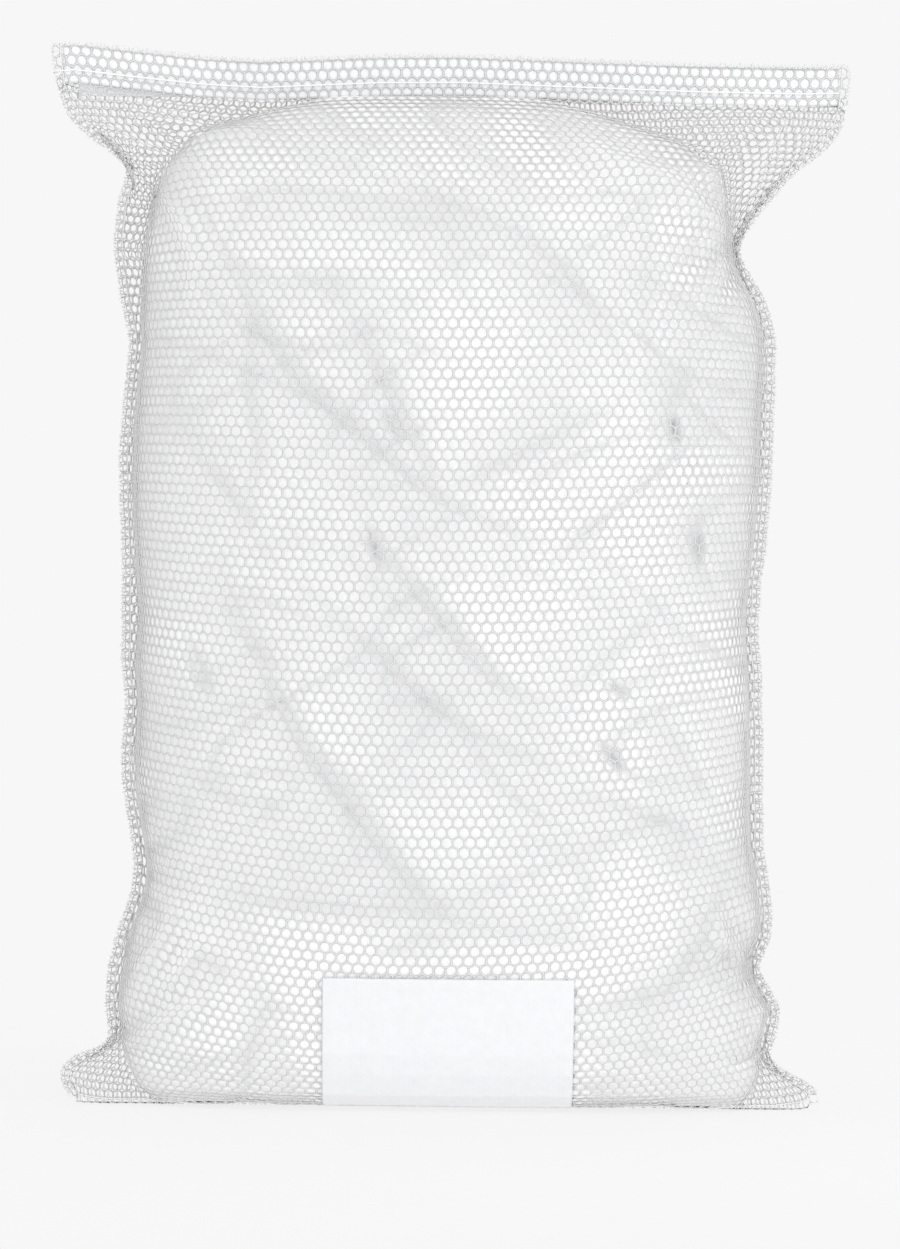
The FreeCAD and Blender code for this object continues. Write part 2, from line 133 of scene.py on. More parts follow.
THREAD_CLEARANCE = 0.05       # of the seams' threads
BASE_ROUNDING = 0.09          # how fast the base rises away from its middle line
MIDDLE_STRETCH = 1.08         # how wide the net is drawn in its middle, against its flat width
SIDE_GATHER = 0.45            # and how much less at its seams
CROWDING = 0.5                # how much closer the cells lie along a fold


# ---- small tools -----------------------------------------------------------------------
def column(table, index):
    return np.array([row[index] for row in table], float)


def top_edge(x):
    return np.interp(x, column(MOUTH_EDGE, 0), column(MOUTH_EDGE, 1))


def evenly(line, shares):
    """Points at the given shares of a line's length."""
    line = np.asarray(line, float)
    travelled = np.concatenate([[0], np.cumsum(np.linalg.norm(np.diff(line, axis=0), axis=1))])
    at = shares * travelled[-1]
    return np.stack([np.interp(at, travelled, values) for values in line.T], axis=1)


def unit(vectors):
    return vectors / (np.linalg.norm(vectors, axis=-1, keepdims=True) + 1e-12)


def unit_run(points, axis=0):
    """The unit direction along one axis of a line or a grid of points."""
    return unit(np.gradient(points, axis=axis))


def softened(line, rounds):
    """The line with its corners eased, its ends kept."""
    for _ in range(rounds):
        line[1:-1] = line[1:-1] * 0.5 + (line[:-2] + line[2:]) * 0.25
    return line


def ripples(random, x, y, wavelength, count=12):
    """A smooth random field, about -1 to 1, whose bumps are about a wavelength across."""
    total = np.zeros(np.broadcast(x, y).shape)
    for _ in range(count):
        heading = random.uniform(0, 2 * math.pi)
        number = 2 * math.pi / (wavelength * random.uniform(0.7, 1.4))
        phase = random.uniform(0, 2 * math.pi)
        total += np.cos(number * (x * math.cos(heading) + y * math.sin(heading)) + phase)
    return total / math.sqrt(count)


def bulge(share, power=SECTION_POWER):
    share = np.clip(np.abs(share), 0, 1)
    return (1 - share ** power) ** (1 / power)


def section_power(z):
    """How square a level section is: the laundry's shoulders are squarer than its body."""
    return np.interp(z, (410, 475), (SECTION_POWER, SHOULDER_POWER))


def load_section(z):
    """The laundry's left end, right end and half depth at a height, always inside the side seams."""
    heights = column(LOAD_OUTLINE, 0)
    left = np.interp(z, heights, column(LOAD_OUTLINE, 1))
    right = np.interp(z, heights, column(LOAD_OUTLINE, 2))
    left = np.maximum(left, np.interp(-z, -column(LEFT_EDGE, 1), column(LEFT_EDGE, 0)) + LOAD_INSET)
    right = np.minimum(right, np.interp(-z, -column(RIGHT_EDGE, 1), column(RIGHT_EDGE, 0)) - LOAD_INSET)
    return left, right, np.interp(z, heights, column(LOAD_OUTLINE, 3), right=0.0)


def load_depth(x, z):
    """How far the laundry reaches forward or back at a place seen from the front, or 0 beside it."""
    left, right, depth = load_section(z)
    share = (x - (left + right) / 2) / ((right - left) / 2)
    return np.where(np.abs(share) < 1, depth * bulge(share, section_power(z)), 0.0)


def gathers(x, z):
    """Small folds of the net that run together at each pinch."""
    height = np.zeros(np.shape(x))
    for pinch_x, pinch_z, lines, size in PINCHES:
        away = np.hypot(x - pinch_x, z - pinch_z)
        angle = np.arctan2(z - pinch_z, x - pinch_x)
        fade = np.exp(-away / 26) * (1 - np.exp(-(away / 9) ** 2))
        height += size * fade * (1 + np.cos(lines * angle + pinch_z))
    return height


def beside(x, z, line):
    """Each place's offsets (dx, dz) from a smooth line, its distance to the line's right, and its
    share of the way along."""
    steps = 60
    way = softened(evenly(line, np.linspace(0, 1, steps)), 12)
    gap_x = x[..., None] - way[:, 0]
    gap_z = z[..., None] - way[:, 1]
    nearest = (gap_x ** 2 + gap_z ** 2).argmin(axis=-1)
    run = unit_run(way)
    dx = np.take_along_axis(gap_x, nearest[..., None], -1)[..., 0]
    dz = np.take_along_axis(gap_z, nearest[..., None], -1)[..., 0]
    right = dx * run[nearest, 1] - dz * run[nearest, 0]
    return dx, dz, right, nearest / (steps - 1)


def net_height(x, z, side):
    """How far the net stands out from the middle plane where the laundry or a fold lifts it."""
    load = load_depth(x, z) + 1.0
    if side == 0:
        near_band = np.clip((z - 494) / 9, 0, 1)
        load = np.maximum(load, -BAND_FRONT * near_band * near_band * (3 - 2 * near_band))
    height = load + gathers(x, z) * np.clip(load / 12, 0.5, 1)
    if side == 0:
        for line, ridge, width in NET_FOLDS:
            dx, dz, _, share = beside(x, z, line)
            fade = np.sin(np.clip(share, 0.03, 0.97) * math.pi)
            height += ridge * fade * np.exp(-(dx ** 2 + dz ** 2) / width ** 2)
    return height


def crowd(panel):
    """Draws the net's cells together along the folds, as cloth does where it is pleated."""
    x, z = panel[..., 0].copy(), panel[..., 2].copy()
    for line, _, width in NET_FOLDS:
        dx, dz, _, share = beside(x, z, line)
        fade = np.sin(np.clip(share, 0.03, 0.97) * math.pi) ** 0.5
        drawn = CROWDING * fade * np.exp(-(dx ** 2 + dz ** 2) / (1.6 * width) ** 2)
        panel[..., 0] -= drawn * dx
        panel[..., 2] = np.maximum(panel[..., 2] - drawn * dz, FLOOR_CLEARANCE)


def blended(grid, row_at, column_at):
    """A grid's values between its points and just outside it, at places given in rows and columns."""
    i = np.clip(np.floor(row_at), 0, grid.shape[0] - 2).astype(int)
    j = np.clip(np.floor(column_at), 0, grid.shape[1] - 2).astype(int)
    t, s = row_at - i, column_at - j
    if grid.ndim == 3:
        t, s = t[..., None], s[..., None]
    upper = grid[i, j] * (1 - s) + grid[i, j + 1] * s
    lower = grid[i + 1, j] * (1 - s) + grid[i + 1, j + 1] * s
    return upper * (1 - t) + lower * t


class HeightMap:
    """A height over the bag's front view, worked out once at every millimetre."""

    def __init__(self, height):
        self.left, self.low = -215.0, -10.0
        x, z = np.meshgrid(np.arange(self.left, 216.0), np.arange(self.low, 560.0))
        self.grid = height(x, z)

    def at(self, x, z):
        return blended(self.grid, z - self.low, x - self.left)


# ---- cloth solver ----------------------------------------------------------------------
SQUEEZE = 0.15                # how strongly the cloth resists being squeezed, against stretched
SHEAR = 0.25                  # how strongly its slants are held, against its threads
SMOOTHING = 0.12
ROUNDS = (260, 180, 120)      # at each level of detail
FIRST_ACROSS = 49             # intervals of the coarsest grid; each level doubles them
FIRST_DOWN = 75


def pull(a, b, rest, strength=1.0):
    """Moves two sets of points towards their rest distance, each by half."""
    gap = b - a
    length = np.sqrt((gap * gap).sum(-1, keepdims=True)) + 1e-9
    excess = 1 - rest / length
    move = gap * (0.5 * strength * np.where(excess > 0, 1, SQUEEZE) * excess)
    a += move
    b -= move


def relax(points, rests, hold, rounds):
    """Eases grids of points, (..., rows, columns, 3), to their rest lengths under hold's rules."""
    across, down, slant = rests
    for _ in range(rounds):
        for first in (0, 1):
            pull(points[..., first:-1:2, :], points[..., first + 1::2, :], across[..., first::2, None])
            upper, lower = points[..., first:-1:2, :, :], points[..., first + 1::2, :, :]
            pull(upper, lower, down[..., first::2, :, None])
            pull(upper[..., :-1, :], lower[..., 1:, :], slant[..., first::2, :, None], SHEAR)
            pull(upper[..., 1:, :], lower[..., :-1, :], slant[..., first::2, :, None], SHEAR)
        inside = points[..., 1:-1, 1:-1, :]
        around = (points[..., 2:, 1:-1, :] + points[..., :-2, 1:-1, :]
                  + points[..., 1:-1, 2:, :] + points[..., 1:-1, :-2, :]) / 4
        inside += SMOOTHING * (around - inside)
        hold(points)


def cloth_widths(columns, across):
    """Widths of a panel's strips: its net is drawn wide in the middle and gathered at its seams."""
    place = np.linspace(-1, 1, columns - 1)
    return across * (MIDDLE_STRETCH - SIDE_GATHER * np.abs(place) ** 3)


def net_rests(rows, columns, across, down):
    """Rest lengths of a panel across, down and along its slants."""
    wide = cloth_widths(columns, across)
    slant = np.tile(np.hypot(wide, down), (rows - 1, 1))
    return np.tile(wide, (rows, 1)), np.full((rows - 1, columns), down), slant


def refine(points, axis):
    """Doubles a grid's resolution along one axis."""
    points = np.moveaxis(points, axis, 0)
    finer = np.empty((points.shape[0] * 2 - 1,) + points.shape[1:])
    finer[::2] = points
    finer[1::2] = (points[:-1] + points[1:]) / 2
    return np.moveaxis(finer, 0, axis)


# ---- the two net panels ----------------------------------------------------------------
def seam_line(edge, rows, random):
    """The points of a side seam from the mouth to the bottom corner, with the sway of real cloth."""
    line = softened(evenly(edge, np.linspace(0, 1, rows)), max(1, rows // 120))
    run = unit_run(line)
    inward = np.stack([-run[:, 1], run[:, 0]], axis=1)
    inward *= -np.sign(inward[:, :1] * line[:, :1])
    line = line + SEAM_FIN * inward
    down = np.linspace(0, FLAT_HEIGHT, rows)
    free = np.clip((down - BAND) / 40, 0, 1) * np.clip((FLAT_HEIGHT - down) / 40, 0, 1)
    sway = ripples(random, down, 0 * down, 80, 9)
    jog = ripples(random, down, 0 * down, 30, 9)
    points = np.stack([line[:, 0] + 0.3 * free * jog, 1.5 * free * sway, line[:, 1]], axis=1)
    points[:, 2] = np.maximum(points[:, 2], FLOOR_CLEARANCE)
    return points


def first_shape(rows, columns, left, right, lifts):
    """Each panel before it is relaxed: level sections round the laundry, with the cloth then spread
    evenly down each column from the band to the bottom seam."""
    levels = np.concatenate([np.linspace(BAND_FOOT, 3, 200), np.full(10, 2.0)])
    tuck = np.concatenate([np.ones(200), np.linspace(1, 0, 10)])
    widths = np.concatenate([[0], np.cumsum(cloth_widths(columns, 1.0))])
    down = np.clip((np.linspace(0, FLAT_HEIGHT, rows) - BAND) / (FLAT_HEIGHT - BAND), 0, 1)
    share = np.linspace(0, 1, columns)[:, None]
    shape = np.empty((2, rows, columns, 3))
    for side, sign in ((0, -1), (1, 1)):
        sections = np.empty((len(levels), columns, 3))
        for k, z in enumerate(levels):
            ends = [np.interp(-z, -seam[:, 2], seam[:, 0]) for seam in (left, right)]
            x = np.linspace(*ends, 401)
            z_here = np.full_like(x, z)
            out = lifts[side].at(x, z_here) * tuck[k]
            sections[k] = evenly(np.stack([x, sign * out, z_here], axis=1), widths / widths[-1])
        for j in range(columns):
            shape[side, :, j] = evenly(sections[:, j], down)
        shape[side] += (1 - share) ** 16 * (left[:, None] - shape[side, :, :1])
        shape[side] += share ** 16 * (right[:, None] - shape[side, :, -1:])
    return shape


def panel_rules(rows, columns, left, right, mouth_rows, lifts):
    """What holds the panels: the band, the side seams, the laundry, the floor and each other."""
    fraction = np.linspace(0, 1, columns)
    reach = np.linspace(0, FLAT_WIDTH, columns)
    from_left = np.exp(-reach / 35.0)
    seam_y = left[:, 1:2] * from_left + right[:, 1:2] * from_left[::-1]
    gap = np.clip(np.minimum(reach, reach[::-1]) / 12, 0.12, 1) * 1.2
    band_x = left[:mouth_rows, 0:1] + (right[:mouth_rows, 0:1] - left[:mouth_rows, 0:1]) * fraction
    down = np.linspace(0, FLAT_HEIGHT, rows)[:mouth_rows, None]
    front_z = top_edge(band_x) - down
    at_seams = np.exp(-np.minimum(reach, reach[::-1]) / 10.0)
    back_z = (BACK_NET_TOP + BACK_NET_START - down) * (1 - at_seams) + front_z * at_seams
    band_z = np.stack([front_z, back_z])
    slack = np.array([-1.0, 1.0])[:, None, None]

    def hold(points):
        points[..., 1] -= 0.05 * slack
        out = points[..., 1] * slack
        wanted = np.stack([lift.at(side[..., 0], side[..., 2]) for lift, side in zip(lifts, points)])
        wanted = np.maximum(wanted, gap + seam_y * slack)
        points[..., 1] = np.maximum(out, wanted) * slack
        rounding = BASE_ROUNDING * np.maximum(np.abs(points[..., 1]) - 8, 0)
        points[..., 2] = np.maximum(points[..., 2], FLOOR_CLEARANCE + rounding)
        points[:, :, 0] = left
        points[:, :, -1] = right
        bottom = points[:, -1].mean(0)
        bottom[:, 2] += 0.3 * (FLOOR_CLEARANCE - bottom[:, 2])
        points[:, -1] = bottom
        points[:, :mouth_rows, :, 0] = band_x
        points[:, :mouth_rows, :, 2] = band_z
        points[0, :mouth_rows, :, 1] = BAND_FRONT
        points[1, :mouth_rows, :, 1] = BACK_HEM_Y

    return hold


def relaxed_panels(levels):
    """Both panels of the bag, (2, rows, columns, 3), between their seam lines."""
    shape = None
    between_seams = FLAT_WIDTH - 2 * SEAM_FIN
    lifts = [HeightMap(lambda x, z, side=side: net_height(x, z, side)) for side in (0, 1)]
    for level in range(levels):
        random = np.random.default_rng(11)
        intervals = FIRST_ACROSS * 2 ** level
        rows, columns = FIRST_DOWN * 2 ** level + 1, intervals + 1
        left = seam_line(LEFT_EDGE, rows, random)
        right = seam_line(RIGHT_EDGE, rows, random)
        down = FLAT_HEIGHT / (rows - 1)
        mouth_rows = int(BAND / down) + 1
        if shape is None:
            shape = first_shape(rows, columns, left, right, lifts)
            flat_u, flat_v = np.meshgrid(np.linspace(0, between_seams, columns),
                                         np.linspace(0, FLAT_HEIGHT, rows))
            for side, sign in ((0, -1), (1, 1)):
                shape[side, ..., 1] += sign * 1.5 * (1 + ripples(random, flat_u, flat_v, 60))
        else:
            shape = refine(refine(shape, 1), 2)
        rests = net_rests(rows, columns, between_seams / intervals, down)
        hold = panel_rules(rows, columns, left, right, mouth_rows, lifts)
        hold(shape)
        relax(shape, rests, hold, ROUNDS[level])
    crowd(shape[0, mouth_rows + 1:, 1:-1])
    hold(shape)
    return shape


def with_fins(shape):
    """The panels with the raw-edged fins outside their side seams."""
    spacing = (FLAT_WIDTH - 2 * SEAM_FIN) / (shape.shape[2] - 1)
    extra = int(round(SEAM_FIN / spacing))
    pieces = [shape]
    for end in (0, -1):
        seam = shape[:, :, end]
        run = unit_run(seam, 1)
        outward = np.stack([-run[..., 2], 0 * run[..., 0], run[..., 0]], axis=-1)
        outward *= np.sign(outward[..., :1] * seam[..., :1])
        rows = [seam + outward * spacing * (step + 1) for step in range(extra)]
        for step, row in enumerate(rows):
            row[..., 1] += np.array([-0.5, 0.5])[:, None] * (step + 1) / extra
        if end == 0:
            pieces.insert(0, np.stack(rows[::-1], axis=2))
        else:
            pieces.append(np.stack(rows, axis=2))
    return np.concatenate(pieces, axis=2)


class Cloth:
    """One panel's surface: gives the place and the outward direction for any flat point (u, v)."""

    def __init__(self, points, side):
        self.points = points
        self.side = side
        across = np.gradient(points, axis=1)
        down = np.gradient(points, axis=0)
        normal = np.cross(down, across) if side == 0 else np.cross(across, down)
        self.normals = unit(normal)
        self.rows, self.columns = points.shape[:2]

    def at(self, u, v, lift=0.0):
        column_at = u / FLAT_WIDTH * (self.columns - 1)
        row_at = v / FLAT_HEIGHT * (self.rows - 1)
        place = blended(self.points, row_at, column_at)
        return place + blended(self.normals, row_at, column_at) * np.asarray(lift)[..., None]

    def under(self, x, z):
        """The flat places (u, v) of the points that are seen at x and z from the front."""
        u = FLAT_WIDTH / 2 + x
        v = FLAT_HEIGHT - 70 - z
        for _ in range(60):
            here = self.at(u, v)
            u = u + 0.9 * (x - here[..., 0])
            v = v + 0.9 * (here[..., 2] - z)
        return u, v


# ---- meshes ----------------------------------------------------------------------------
def piece(name, points, faces, material, node=None):
    """A mesh in millimetres that stands in for a CAD node of the bag, its namesake unless given."""
    mesh = bpy.data.meshes.new(name + "_look")
    mesh.from_pydata(np.asarray(points) * MM, [], [list(face) for face in faces])
    mesh.polygons.foreach_set("use_smooth", np.full(len(mesh.polygons), True))
    mesh.materials.append(material)
    mesh.update()
    obj = bpy.data.objects.new(mesh.name, mesh)
    bpy.context.scene.collection.objects.link(obj)
    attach(obj, "bag")
    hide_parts(node or name)
    return obj


def tubes(paths, radius, sides=6):
    """Round threads along equally long paths, (threads, steps, 3): their points and faces."""
    paths = np.asarray(paths, float)
    count, steps = paths.shape[:2]
    run = unit_run(paths, 1)
    least = np.abs(run).sum(axis=1).argmin(axis=-1)
    across = unit(np.cross(run, np.eye(3)[least][:, None]))
    up = np.cross(run, across)
    angle = np.arange(sides) * 2 * math.pi / sides
    ring = (np.cos(angle)[:, None] * across[:, :, None] + np.sin(angle)[:, None] * up[:, :, None])
    points = (paths[:, :, None] + radius * ring).reshape(-1, 3)
    index = np.arange(count * steps * sides).reshape(count, steps, sides)
    turned = np.roll(index, -1, axis=2)
    quads = np.stack([index[:, :-1], turned[:, :-1], turned[:, 1:], index[:, 1:]], axis=-1)
    faces = quads.reshape(-1, 4).tolist()
    faces += index[:, 0, ::-1].tolist()
    faces += index[:, -1].tolist()
    return points, faces


def joined(parts):
    """Several (points, faces) pairs as one."""
    points, faces, start = [], [], 0
    for part_points, part_faces in parts:
        points.append(part_points)
        faces += [[corner + start for corner in face] for face in part_faces]
        start += len(part_points)
    return np.concatenate(points), faces


def slab(outer, inner):
    """A closed sheet between two equal grids of points."""
    rows, columns = outer.shape[:2]
    size = rows * columns
    index = np.arange(size).reshape(rows, columns)
    quads = np.stack([index[:-1, :-1], index[1:, :-1], index[1:, 1:], index[:-1, 1:]], -1)
    quads = quads.reshape(-1, 4)
    rim = np.concatenate([index[0, :-1], index[:-1, -1], index[-1, :0:-1], index[:0:-1, 0]])
    following = np.roll(rim, -1)
    sides = np.stack([rim, following, following + size, rim + size], axis=-1)
    faces = np.concatenate([quads, quads[:, ::-1] + size, sides])
    return np.concatenate([outer.reshape(-1, 3), inner.reshape(-1, 3)]), faces.tolist()


# ---- the nets --------------------------------------------------------------------------
def honeycomb(top):
    """The net drawn flat: the corners where cells meet, each cell's six, and twelve points round
    each cell's hole."""
    rows = int((FLAT_HEIGHT - top) / ROW_PITCH)
    row, col = np.meshgrid(np.arange(rows), np.arange(CELLS_ACROSS), indexing="ij")
    centre_u = (col + 0.25 + 0.5 * (row % 2)) * CELL_PITCH
    centre_v = top + (row + 0.6) * ROW_PITCH
    centres = np.stack([centre_u.ravel(), centre_v.ravel()], axis=1)[:, None]
    turn = np.radians(30 + 30 * np.arange(12))
    ring = np.stack([np.cos(turn), CELL_STRETCH * np.sin(turn)], axis=1)
    hole_radius = np.where(np.arange(12) % 2 == 0, KNOT_ROUNDING, 1.0) * (CELL_PITCH - STRAND) / 2
    holes = (centres + ring * hole_radius[:, None]).reshape(-1, 2)
    corners = (centres + ring[::2] * (CELL_PITCH / math.sqrt(3))).reshape(-1, 2)
    keys = np.round(corners * 8).astype(np.int64)
    _, first, shared = np.unique(keys, axis=0, return_index=True, return_inverse=True)
    far_corner = (FLAT_WIDTH, FLAT_HEIGHT)
    return np.clip(corners[first], 0, far_corner), shared.reshape(-1, 6), np.clip(holes, 0, far_corner)


def net_faces(shared, count):
    """The faces of the strands between the cells' shared corners and their holes, and how many of
    them are on the outer side. Points run: outer corners, inner corners, holes."""
    hole_start = 2 * count + 12 * np.arange(len(shared))
    outer_faces = []
    for k in range(6):
        a, b = shared[:, k], shared[:, (k + 1) % 6]
        near_a, middle, near_b = (hole_start + (2 * k + step) % 12 for step in (0, 1, 2))
        for face in ((a, b, middle), (a, middle, near_a), (b, near_b, middle)):
            outer_faces.append(np.stack(face, 1))
    outer_faces = np.concatenate(outer_faces)
    inner_faces = np.where(outer_faces < count, outer_faces + count, outer_faces)[:, ::-1]
    edges = np.concatenate([np.stack([shared[:, k], shared[:, (k + 1) % 6]], 1) for k in range(6)])
    _, index, uses = np.unique(np.sort(edges, 1), axis=0, return_index=True, return_counts=True)
    start, end = edges[index[uses == 1]].T
    rim_faces = [np.stack([end, start, start + count], 1), np.stack([end, start + count, end + count], 1)]
    return np.concatenate([outer_faces, inner_faces, *rim_faces]), len(outer_faces)


def net_mesh(cloth, top):
    """A honeycomb net knitted over the cloth, and each point's place on a flat picture of it."""
    corners, shared, holes = honeycomb(top)
    points = np.concatenate([
        cloth.at(*corners.T, STRAND_HALF_DEPTH), cloth.at(*corners.T, -STRAND_HALF_DEPTH),
        cloth.at(*holes.T),
    ])
    faces, outer_count = net_faces(shared, len(corners))
    flat = np.concatenate([corners, corners, holes])
    on_picture = flat[faces] / (FLAT_WIDTH, FLAT_HEIGHT)
    on_picture[..., 0] = np.clip(on_picture[..., 0], 0, 1) * 0.5
    on_picture[outer_count:, :, 0] += 0.5
    if cloth.side == 0:
        faces, on_picture = faces[:, ::-1], on_picture[:, ::-1]
    return points, faces, on_picture


def net_piece(name, cloth, top, material):
    points, faces, on_picture = net_mesh(cloth, top)
    net = piece(name, points, faces.tolist(), material)
    layer = net.data.uv_layers.new(name="OFBake")
    layer.data.foreach_set("uv", np.clip(on_picture, 0, 1).reshape(-1))


# ---- the raw edges and their overlocking -----------------------------------------------
def overlock(cloth, place, length, random, lift=0.55):
    """Thread over a raw edge. place(along, out) gives (u, v) for a distance along the edge and out
    from the seam line; the thread lies on the cloth's outer face and reaches past the edge."""
    pitch = 2.6
    along = np.arange(pitch, length - pitch, pitch)
    steps = np.linspace(0, 1, 5)
    sway = random.uniform(-0.5, 0.5, (len(along), 1))
    reach = random.uniform(3.6, 4.6, (len(along), 1))
    u, v = place(along[:, None] + sway + 0.9 * steps, reach * steps)
    height = lift * (1 - steps ** 3) + random.uniform(-0.1, 0.1, sway.shape)
    legs = tubes(cloth.at(u, v, height), 0.17, 5)
    chain = np.arange(0.5, length - 0.5, 0.65)
    u, v = place(chain, 0.12 * np.sin(chain * 2 * math.pi / pitch))
    line = tubes(cloth.at(u, v, lift + 0.1 * np.cos(chain * 4 * math.pi / pitch))[None], 0.3, 6)
    return [legs, line]


def cut_ends(cloth, place, length, pitch, random, reach=(0.2, 1.1), radius=0.22):
    """The cut strands that stick out past a raw edge."""
    along = np.arange(pitch / 2, length, pitch)
    along = along + random.uniform(-0.25, 0.25, along.shape) * pitch
    steps = np.linspace(0, 1, 4)
    lean = random.uniform(-0.7, 0.7, (len(along), 1))
    far = random.uniform(*reach, (len(along), 1))
    u, v = place(along[:, None] + lean * steps ** 2, SEAM_FIN - 0.8 + (far + 0.8) * steps)
    curl = random.uniform(-0.6, 0.6, lean.shape)
    return tubes(cloth.at(u, v, curl * steps ** 2), radius, 5)


def side_place(side_sign):
    """Places along a side seam: -1 for the left edge of a panel, 1 for the right."""
    seam = SEAM_FIN if side_sign < 0 else FLAT_WIDTH - SEAM_FIN

    def place(along, out):
        return np.broadcast_arrays(seam + side_sign * out, along)

    return place


def fringe_piece(name, parts, material):
    """A seam's threads as one piece, kept off the floor."""
    points, faces = joined(parts)
    points[:, 2] = np.maximum(points[:, 2], THREAD_CLEARANCE)
    piece(name, points, faces, material)


def side_seam_piece(name, cloths, side_sign, random, material):
    place = side_place(side_sign)
    parts = []
    for cloth in cloths:
        parts += overlock(cloth, place, FLAT_HEIGHT, random)
        parts.append(cut_ends(cloth, place, FLAT_HEIGHT, ROW_PITCH, random))
        parts.append(cut_ends(cloth, place, FLAT_HEIGHT, 2.1, random, (0.2, 1.2), 0.12))
    fringe_piece(name, parts, material)


def bottom_seam_piece(cloths, random, material):
    def place(along, out):
        return np.broadcast_arrays(along, FLAT_HEIGHT - SEAM_FIN + out)

    parts = []
    for cloth in cloths:
        parts += overlock(cloth, place, FLAT_WIDTH, random, 0.3)
    fringe_piece("bottom_seam", parts, material)


def top_overlock_piece(cloth, random, material):
    def place(along, out):
        return np.broadcast_arrays(along, SEAM_FIN - out)

    strands = ((CELL_PITCH / 2, (0.6, 1.7), 0.34), (1.0, (0.4, 2.1), 0.13), (1.7, (0.4, 2.0), 0.2))
    parts = [cut_ends(cloth, place, FLAT_WIDTH, pitch, random, reach, radius)
             for pitch, reach, radius in strands]
    along = np.arange(1, FLAT_WIDTH - 1, 0.5)
    rise = 0.5 * np.sin(along * 2 * math.pi / 2.7) - 0.1
    u, v = place(along, SEAM_FIN + rise)
    parts.append(tubes(cloth.at(u, v, 0.35 * np.cos(along * 2 * math.pi / 2.7))[None], 0.22, 5))
    fringe_piece("top_overlock", parts, material)


# ---- the mouth's tape and the zip ------------------------------------------------------
TAPE_STEP = 2.0
MOUTH_TAPE_END = 194
MOUTH_TAPE_TOP = 0.8          # below the mouth's upper edge, like the next two
MOUTH_TAPE_FOOT = 19.3
MOUTH_LINE = 13               # the sewn line
MOUTH_TAPE_Y = -2.3
MOUTH_LINE_Y = -3.75
ZIP_TAPE_END = 186
ZIP_TEETH_END = 170.2
ZIP_TURNS = 226


def tape_piece(name, end, low, high, y, half_thickness, material):
    """A flat tape from -end to end, its low and high edges as functions of x."""
    x = np.arange(-end, end + TAPE_STEP / 2, TAPE_STEP)
    share = np.linspace(0, 1, 12)[:, None]
    z = low(x) * share + high(x) * (1 - share)
    wave = 0.05 * np.sin(x / 9.0) + 0.03 * np.sin(x / 3.7)
    grid = np.stack([x + 0 * z, y + wave + 0 * z, z], axis=-1)
    shift = np.array([0, half_thickness, 0])
    return piece(name, *slab(grid - shift, grid + shift), material)


def level(height):
    return lambda x: np.full(np.shape(x), height)


def stitch_line(x_from, x_to, height, y, pitch, share, dip, radius=THREAD_RADIUS):
    """A row of sewn stitches along x; height is a function of x, and dip is towards the cloth."""
    starts = np.arange(x_from, x_to - pitch, pitch)
    steps = np.linspace(0, 1, 7)
    x = starts[:, None] + share * pitch * steps
    y_path = y + dip * (1 - np.sin(steps * math.pi) ** 0.6) + 0 * x
    return tubes(np.stack([x, y_path, height(x)], axis=-1), radius, 6)


def coil(z_root, z_tip, x_half, turns, offset):
    """One side of a nylon coil zip: a flattened spiral that rides along the tape's edge."""
    angle = np.linspace(0, turns * 2 * math.pi, turns * 14) + offset
    x = np.linspace(-x_half, x_half, len(angle))
    middle, reach = (z_root + z_tip) / 2, (z_tip - z_root) / 2
    z = middle + (abs(reach) - 0.2) * np.sign(reach) * np.cos(angle)
    y = 0.55 * np.sin(angle)
    head = np.clip(np.cos(angle), 0, 1) ** 6
    return tubes(np.stack([x, y * (1 + 0.15 * head), z], axis=-1)[None], 0.2, 6)


def mouth_pieces(fabric, thread):
    """The tape behind the front net along the mouth, and the sewn line that holds it."""
    mouth = tape_piece("mouth_tape", MOUTH_TAPE_END, lambda x: top_edge(x) - MOUTH_TAPE_FOOT,
                       lambda x: top_edge(x) - MOUTH_TAPE_TOP, MOUTH_TAPE_Y, 0.2, fabric)
    line = stitch_line(-196, 197, lambda x: top_edge(x) - MOUTH_LINE, MOUTH_LINE_Y, 3.0, 0.97, 0.1, 0.36)
    piece("mouth_stitching", *line, thread)


def zip_pieces(tape, nylon, thread):
    upper = (level(ZIP_HEIGHT + 2.8), level(ZIP_HEIGHT + 8.0))
    lower = (level(ZIP_HEIGHT - 9.9), level(ZIP_HEIGHT - 2.8))
    tape_piece("zip_tape_upper", ZIP_TAPE_END, *upper, 0.0, 0.25, tape)
    tape_piece("zip_tape_lower", ZIP_TAPE_END, *lower, 0.0, 0.25, tape)
    for name, sign, offset in (("zip_coil_upper", 1, 0.0), ("zip_coil_lower", -1, math.pi)):
        root, tip = (ZIP_HEIGHT + sign * reach for reach in (2.75, 0.5))
        spiral = coil(root, tip, ZIP_TEETH_END, ZIP_TURNS, offset)
        piece(name, *spiral, nylon)
    above = stitch_line(-184, 185, level(519.5), 0.42, 2.9, 0.8, -0.25)
    piece("zip_upper_stitching", *above, thread)
    below = stitch_line(-184, 185, level(506.15), 1.62, 2.9, 0.8, -0.35)
    piece("zip_lower_stitching", *below, thread)


# ---- the label -------------------------------------------------------------------------
LABEL_LEFT, LABEL_RIGHT, LABEL_TOP = -58.5, 65.0, 67.5
LABEL_END = 5.6               # below this height the label turns under with the net
LABEL_TUCK = 7.0              # how far it then goes on
LABEL_HEM = 6.5
LABEL_STITCH = 5.3            # from one stitch to the next
LABEL_THICKNESS = 0.3
LABEL_CLEARANCE = 0.15        # from the floor
LABEL_GAP = 0.1               # from the net's outer face


